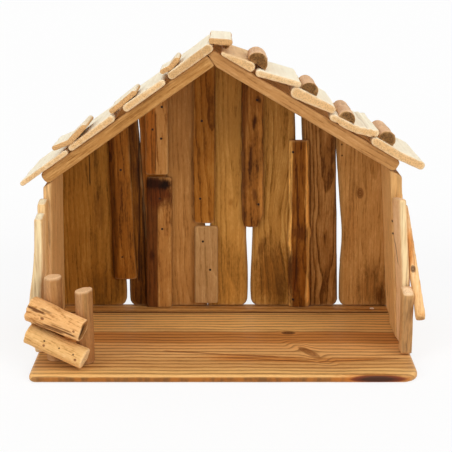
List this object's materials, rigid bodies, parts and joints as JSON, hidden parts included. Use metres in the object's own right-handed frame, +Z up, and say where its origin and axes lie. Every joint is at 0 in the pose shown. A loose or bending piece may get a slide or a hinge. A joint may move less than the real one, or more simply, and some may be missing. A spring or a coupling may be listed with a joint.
{
  "type": "nativity stable",
  "caption": "Open-fronted wooden stable of driftwood boards on a pine plank base, with a pitched shingled roof and a small log fence, made to shelter nativity figures.",
  "frame": {"origin": "middle of the base plank's underside, halfway across the front width and halfway along the depth", "axes": "+X to the viewer's right when looking into the open front, +Y from the open front to the back, +Z up"},
  "size_m": [0.4322, 0.222, 0.3417],
  "materials": {
    "pine": "oiled pine with strong growth rings",
    "plug_wood": "pale end-grain plug",
    "back_wood": "weathered driftwood, oiled",
    "slat_wood": "dark weathered driftwood, oiled",
    "wall_wood": "weathered driftwood, oiled",
    "brace_wood": "weathered driftwood, oiled",
    "rafter_wood": "sawn wood with worn edges",
    "roof_wood": "pale sun-bleached driftwood",
    "cover_wood": "split branch wood with dark ends",
    "post_wood": "smooth barked branch",
    "rail_wood": "split and worm-eaten branch",
    "brad_steel": "dull steel, slightly rusted"
  },
  "bodies": {
    "root": {"back_board_1": "back_wood", "back_board_2": "back_wood", "back_board_3": "back_wood", "back_board_4": "back_wood", "back_board_5": "back_wood", "back_board_6": "back_wood", "back_board_7": "back_wood", "back_board_8": "back_wood", "back_brads": "brad_steel", "back_sill": "pine", "back_slat_1": "slat_wood", "back_slat_2_lower": "slat_wood", "back_slat_2_upper": "slat_wood", "back_slat_3_lower": "slat_wood", "back_slat_3_upper": "slat_wood", "back_slat_4": "slat_wood", "back_slat_5": "slat_wood", "base_brads": "brad_steel", "base_plank": "pine", "brace_brads": "brad_steel", "fence_brads": "brad_steel", "fence_post_left": "post_wood", "fence_post_right": "post_wood", "fence_rail_lower": "rail_wood", "fence_rail_upper": "rail_wood", "front_rafter_left": "rafter_wood", "front_rafter_right": "rafter_wood", "left_wall_1": "wall_wood", "left_wall_2": "wall_wood", "left_wall_3": "wall_wood", "left_wall_4": "wall_wood", "rear_rafter_left": "rafter_wood", "rear_rafter_right": "rafter_wood", "ridge_cap": "roof_wood", "ridge_stick": "roof_wood", "right_brace": "brace_wood", "right_wall_1": "wall_wood", "right_wall_2": "wall_wood", "right_wall_3": "wall_wood", "right_wall_4": "wall_wood", "roof_board_left_1": "roof_wood", "roof_board_left_2": "roof_wood", "roof_board_left_3": "roof_wood", "roof_board_left_4": "roof_wood", "roof_board_right_1": "roof_wood", "roof_board_right_2": "roof_wood", "roof_board_right_3": "roof_wood", "roof_board_right_4": "roof_wood", "roof_board_right_5": "roof_wood", "roof_brads": "brad_steel", "roof_cover_left_1": "roof_wood", "roof_cover_left_2": "roof_wood", "roof_cover_left_3": "roof_wood", "roof_cover_right_1": "cover_wood", "roof_cover_right_2": "cover_wood", "roof_cover_right_3": "cover_wood", "roof_cover_right_4": "cover_wood", "sill_plug": "plug_wood", "slat_brads": "brad_steel"}
  },
  "joints": []
}
